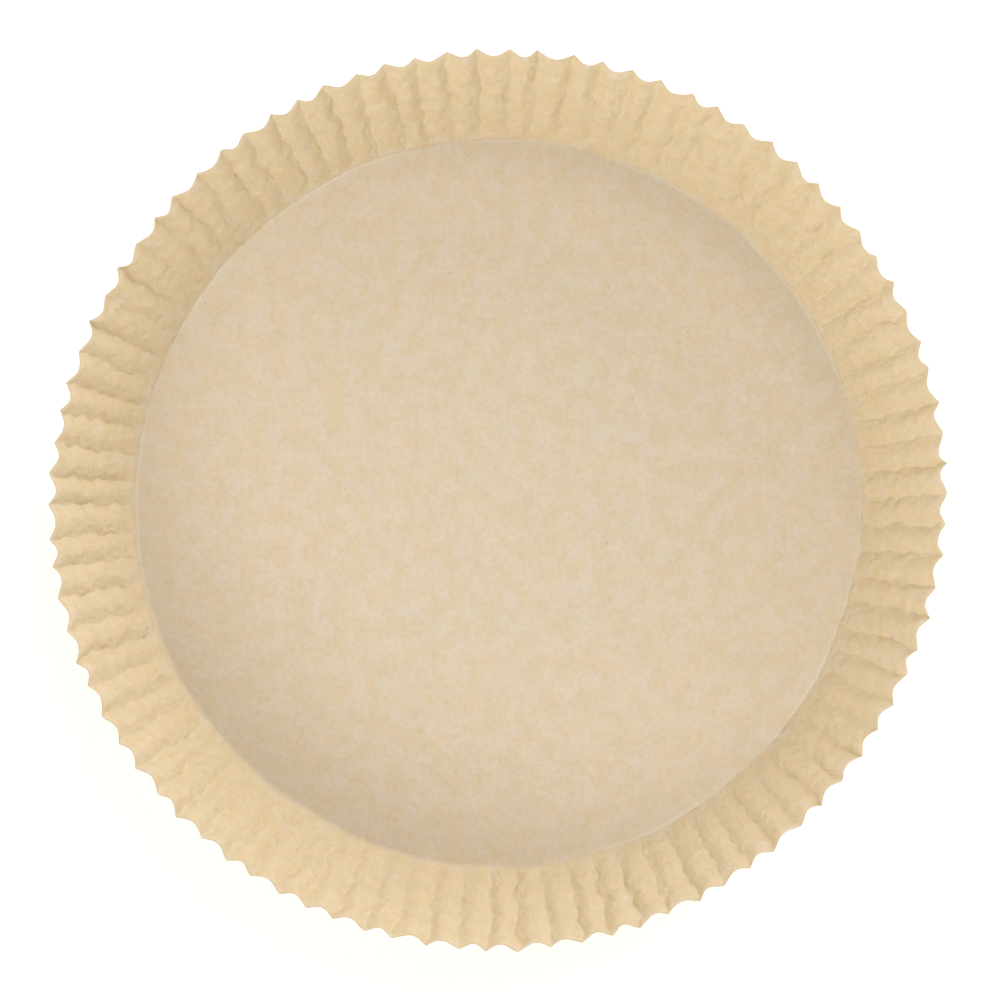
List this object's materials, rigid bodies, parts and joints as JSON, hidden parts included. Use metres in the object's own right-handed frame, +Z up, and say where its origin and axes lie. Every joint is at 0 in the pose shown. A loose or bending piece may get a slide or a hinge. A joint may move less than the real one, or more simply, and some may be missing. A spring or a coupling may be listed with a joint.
{
  "type": "air fryer paper liner",
  "caption": "Round shallow bowl of unbleached greaseproof paper, with a flat base and a flared wall of fine pressed flutes, to line a fryer basket.",
  "frame": {"origin": "middle of the base's underside, where the liner stands", "axes": "+Z up along the bowl's axis, from the base to the open rim"},
  "size_m": [0.2, 0.2, 0.045],
  "materials": {
    "greaseproof_paper": "unbleached greaseproof paper, matt with a faint smooth coating, finely mottled with fibres"
  },
  "bodies": {
    "root": {"paper_liner": "greaseproof_paper"}
  },
  "joints": []
}
